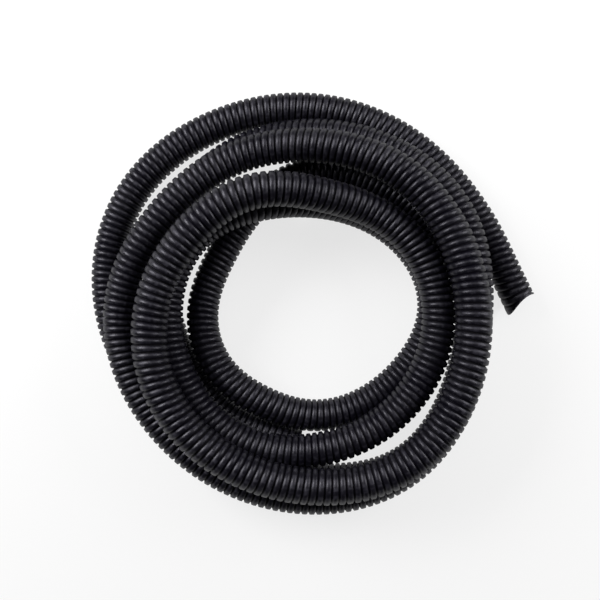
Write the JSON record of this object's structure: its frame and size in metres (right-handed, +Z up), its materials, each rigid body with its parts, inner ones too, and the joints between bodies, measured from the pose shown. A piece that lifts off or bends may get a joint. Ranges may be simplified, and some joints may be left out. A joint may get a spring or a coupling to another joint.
{
  "type": "vacuum hose",
  "caption": "Spiral-corrugated black plastic vacuum hose for a pool, lying in a loose round coil of crossing turns, with bare cut ends and an open bore.",
  "frame": {"origin": "on the ground under the middle of the coil's bounding box", "axes": "+Z up from the ground, +X towards the side where the open end lies, +Y towards the side where the turns spread"},
  "size_m": [0.567, 0.5229, 0.1239],
  "materials": {
    "hose": "satin black moulded polyethylene with a fine spiral rib"
  },
  "bodies": {
    "root": {"open_end": "hose", "first_turn": "hose", "second_turn": "hose", "third_turn": "hose", "fourth_turn": "hose", "fifth_turn": "hose", "under_run": "hose", "tucked_end": "hose"}
  },
  "joints": []
}
